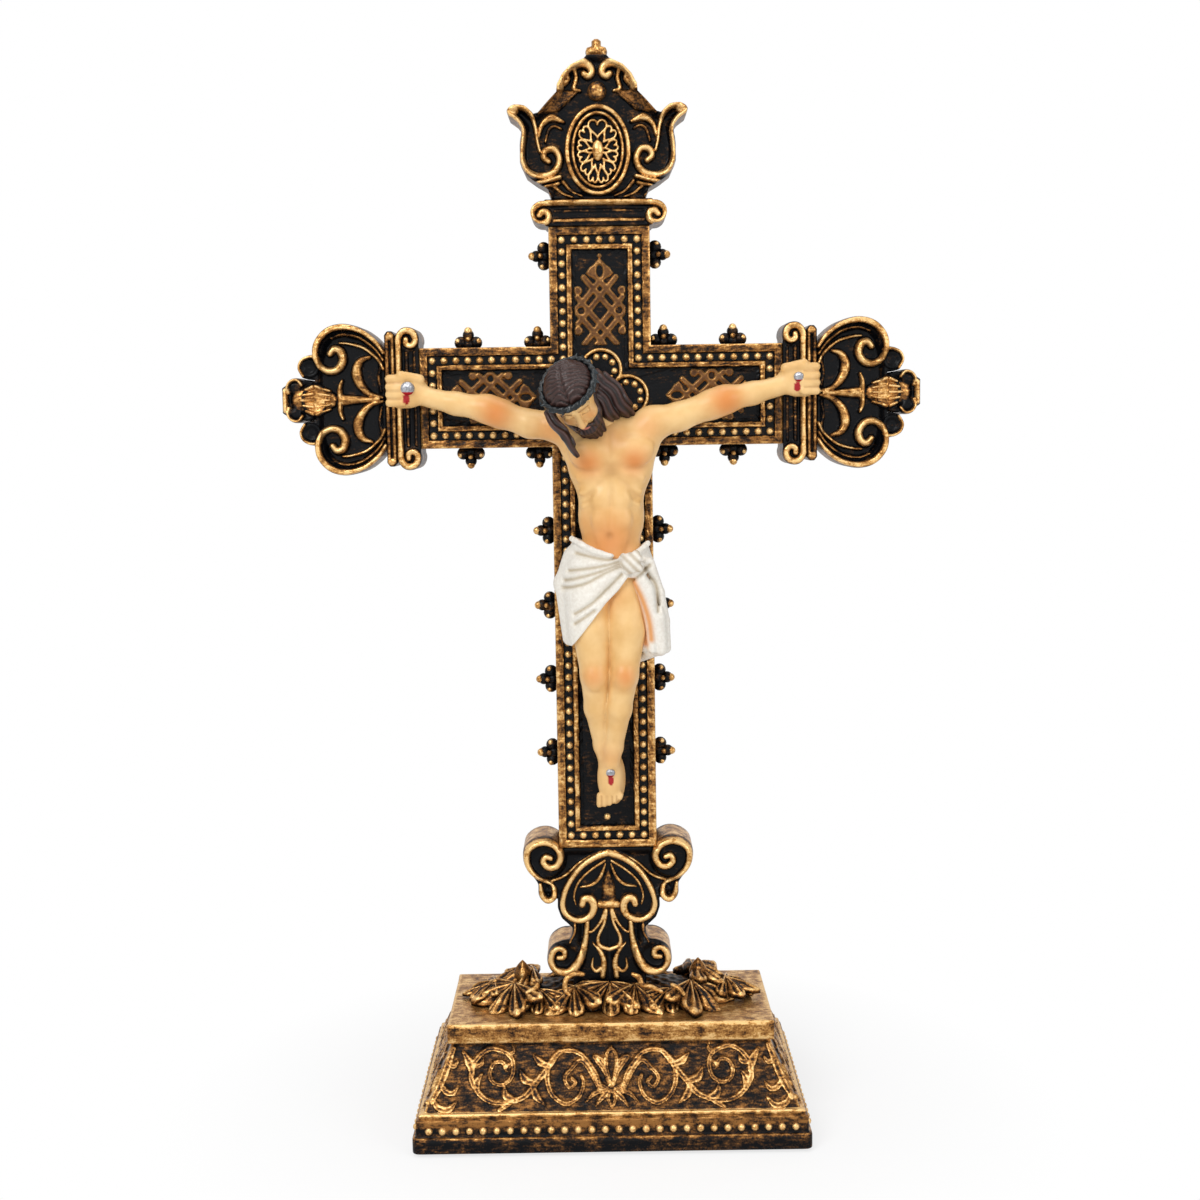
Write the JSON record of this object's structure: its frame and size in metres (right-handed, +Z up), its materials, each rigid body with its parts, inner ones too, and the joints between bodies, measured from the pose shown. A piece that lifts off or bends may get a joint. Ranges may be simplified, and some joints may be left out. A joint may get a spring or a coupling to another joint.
{
  "type": "crucifix",
  "caption": "Standing table crucifix: a beaded cross with scrolled ends and crest carries a hung figure on a leafy stepped plinth.",
  "frame": {"origin": "Middle of the flat underside of the felt pad, on the table.", "axes": "+Z is up, +X is the viewer's right and -Y faces the viewer."},
  "size_m": [0.1758, 0.076, 0.3],
  "materials": {
    "painted_black_gold": "black paint, dry-brushed with gold, half gloss",
    "gold_paint": "old-gold paint, half gloss",
    "copper_paint": "copper-brown paint, satin",
    "leaf_paint": "brown-gold paint over black, satin",
    "flesh_paint": "flesh paint with warm shading, satin",
    "white_paint": "white paint with tan shading in the folds, satin",
    "hair_paint": "dark brown paint, satin",
    "thorn_paint": "dark blue-green paint, satin",
    "silver_paint": "silver paint, half gloss",
    "steel": "plain zinc-plated steel",
    "beech": "bare beech dowel",
    "felt": "black felt"
  },
  "bodies": {
    "root": {"arm_capitals": "painted_black_gold", "arm_collars": "gold_paint", "arm_frets": "copper_paint", "arm_terminals": "painted_black_gold", "beard": "hair_paint", "capital_top": "painted_black_gold", "cloth_knot": "white_paint", "crest": "painted_black_gold", "crest_cartouche": "gold_paint", "crest_finial": "gold_paint", "crest_rosette": "gold_paint", "crest_stud": "gold_paint", "cross_body": "painted_black_gold", "felt_pad": "felt", "figure_body": "flesh_paint", "figure_head": "flesh_paint", "figure_pegs": "beech", "foot": "painted_black_gold", "foot_leaf": "gold_paint", "foot_nail": "silver_paint", "foot_strap": "gold_paint", "frame_beads": "gold_paint", "fret_upper": "copper_paint", "garland_buds": "leaf_paint", "hair": "hair_paint", "halo": "gold_paint", "hand_nails": "silver_paint", "knops_arms": "gold_paint", "knops_shaft": "gold_paint", "knops_upper": "gold_paint", "leaf_garland": "leaf_paint", "loincloth": "white_paint", "plinth": "painted_black_gold", "plinth_beads": "gold_paint", "terminal_buds": "painted_black_gold", "thorn_crown": "thorn_paint", "tie_nut": "steel", "tie_rod": "steel", "tie_washer": "steel"}
  },
  "joints": []
}
